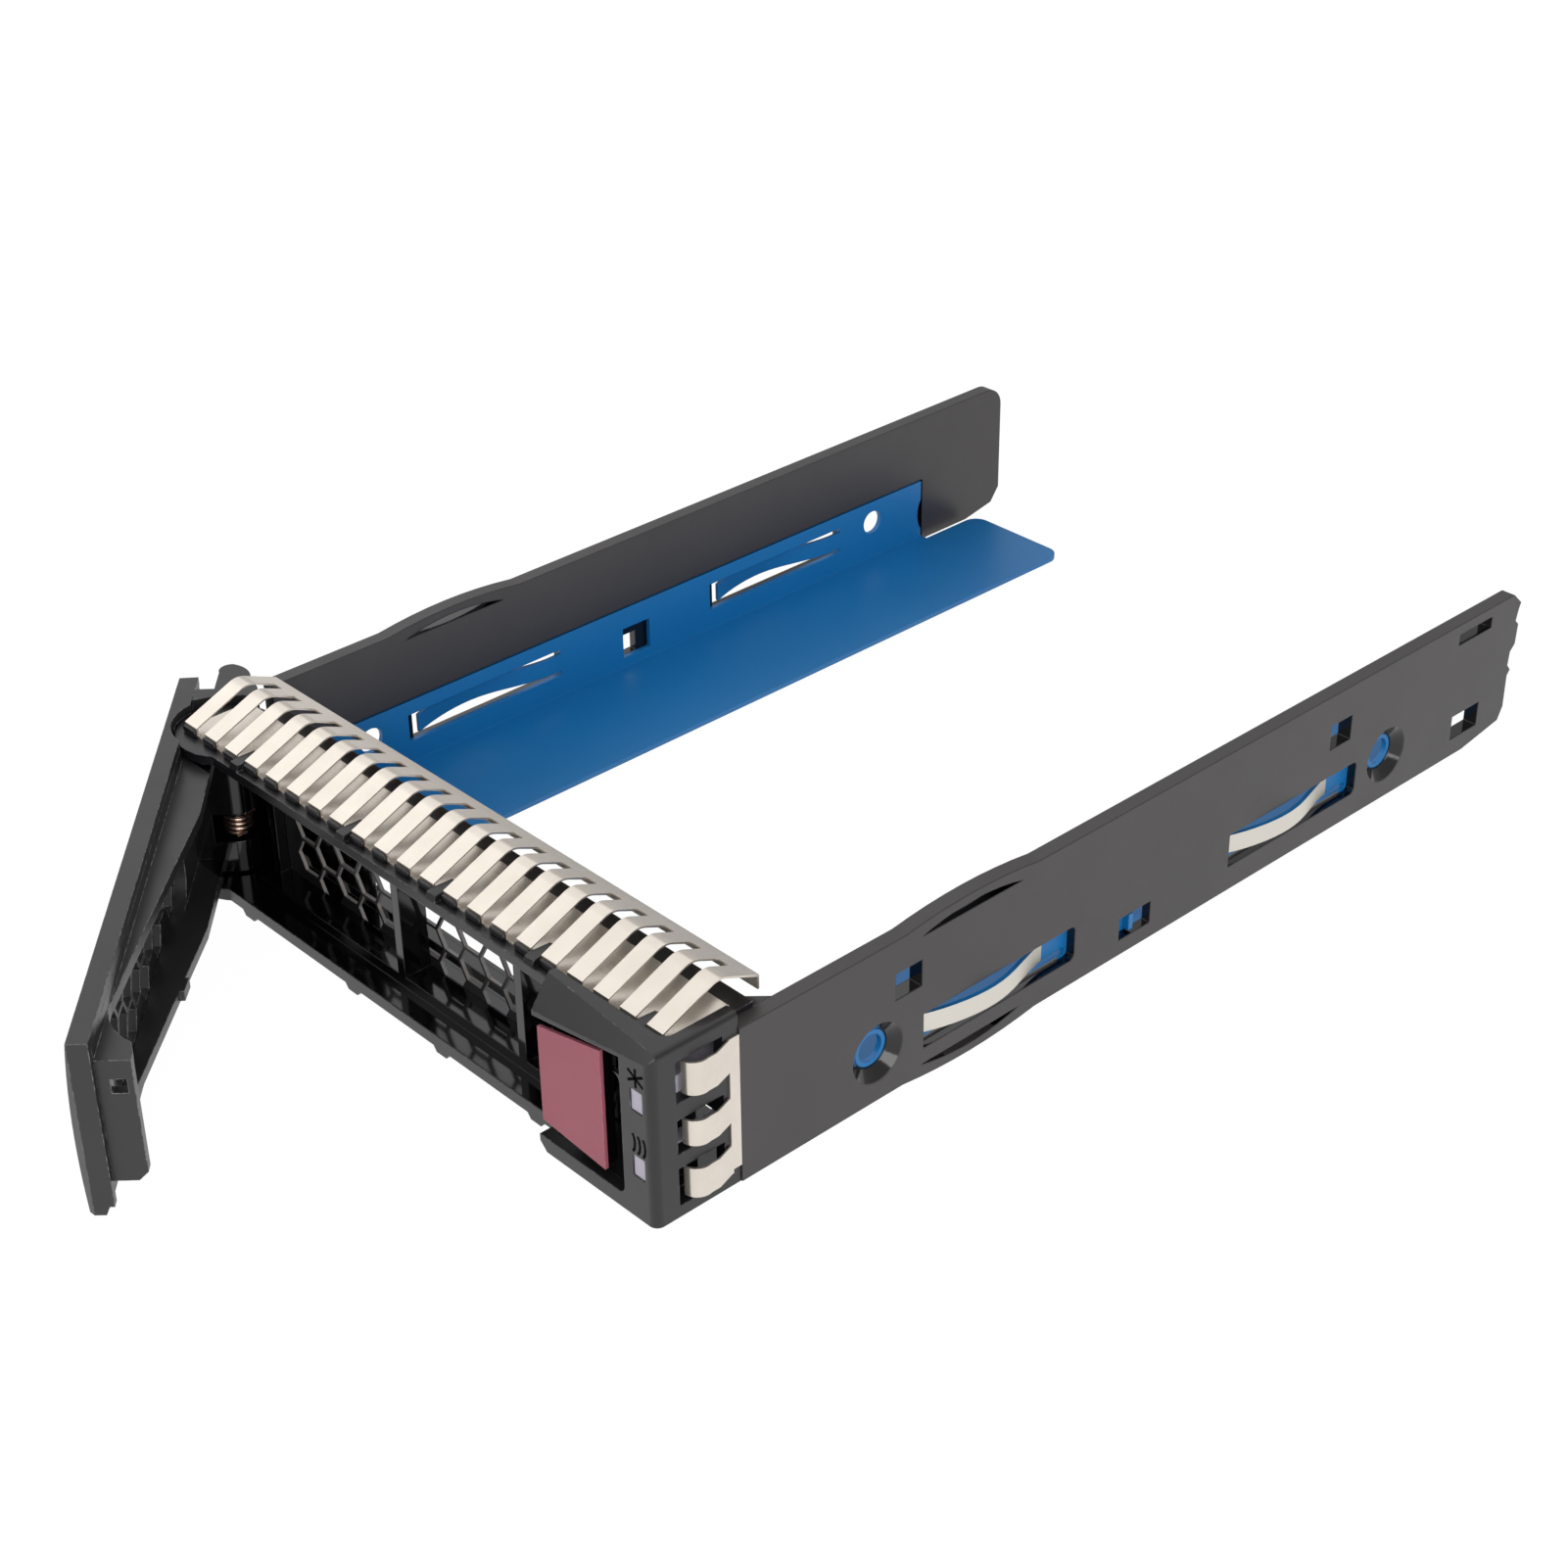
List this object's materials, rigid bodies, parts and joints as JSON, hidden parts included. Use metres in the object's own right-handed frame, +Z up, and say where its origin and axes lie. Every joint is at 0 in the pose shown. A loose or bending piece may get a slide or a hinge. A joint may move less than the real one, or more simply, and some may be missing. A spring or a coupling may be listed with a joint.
{
  "type": "hot swap drive caddy",
  "caption": "Open carrier for a 3.5 inch server drive: a black bezel with a swing-out lever, push button and metal finger strips, and two slide rails with blue brackets.",
  "frame": {"origin": "mid-width on the underside of the bezel's floor, level with the lever's hinge axis", "axes": "+X towards the button side, +Y along the rails away from the bezel, +Z up"},
  "size_m": [0.1132, 0.2132, 0.0286],
  "materials": {
    "rail_plastic": "satin charcoal moulding",
    "bezel_plastic": "satin black moulding",
    "cover_plastic": "fine matte charcoal texture",
    "blue_painted_steel": "smooth blue coating",
    "black_painted_steel": "black coating with bright punched edges",
    "nickel_strip": "warm nickel plating",
    "pin_steel": "ground steel",
    "spring_wire": "bright drawn wire",
    "clear_acrylic": "clear moulding",
    "magenta_plastic": "fine matte magenta moulding"
  },
  "bodies": {
    "carrier": {"rail_right": "rail_plastic", "rail_left": "rail_plastic", "bracket_right": "blue_painted_steel", "bracket_left": "blue_painted_steel", "bezel_frame": "bezel_plastic", "vent_screen": "black_painted_steel", "finger_strip_top": "nickel_strip", "finger_strip_side": "nickel_strip", "light_pipe_upper": "clear_acrylic", "light_pipe_lower": "clear_acrylic", "hinge_pin": "pin_steel", "hinge_spring": "spring_wire", "button_spring": "spring_wire", "button_pin": "pin_steel"},
    "lever": {"lever_cover": "cover_plastic", "lever_arm": "bezel_plastic"},
    "button": {"button_face": "magenta_plastic", "button_body": "bezel_plastic"}
  },
  "joints": [
    {"name": "lever_hinge", "type": "hinge", "parent": "carrier", "child": "lever", "pos_m": [-0.044, 0, 0.0115], "axis": [0, 0, 1], "range_deg": [0, 41.6], "stiffness_Nm_per_rad": 0.02, "springref_deg": -20.05},
    {"name": "button_hinge", "type": "hinge", "parent": "carrier", "child": "button", "pos_m": [0.0356, 0.0019, 0.0115], "axis": [0, 0, 1], "range_deg": [0, 10], "stiffness_Nm_per_rad": 0.02, "springref_deg": -5.73}
  ]
}
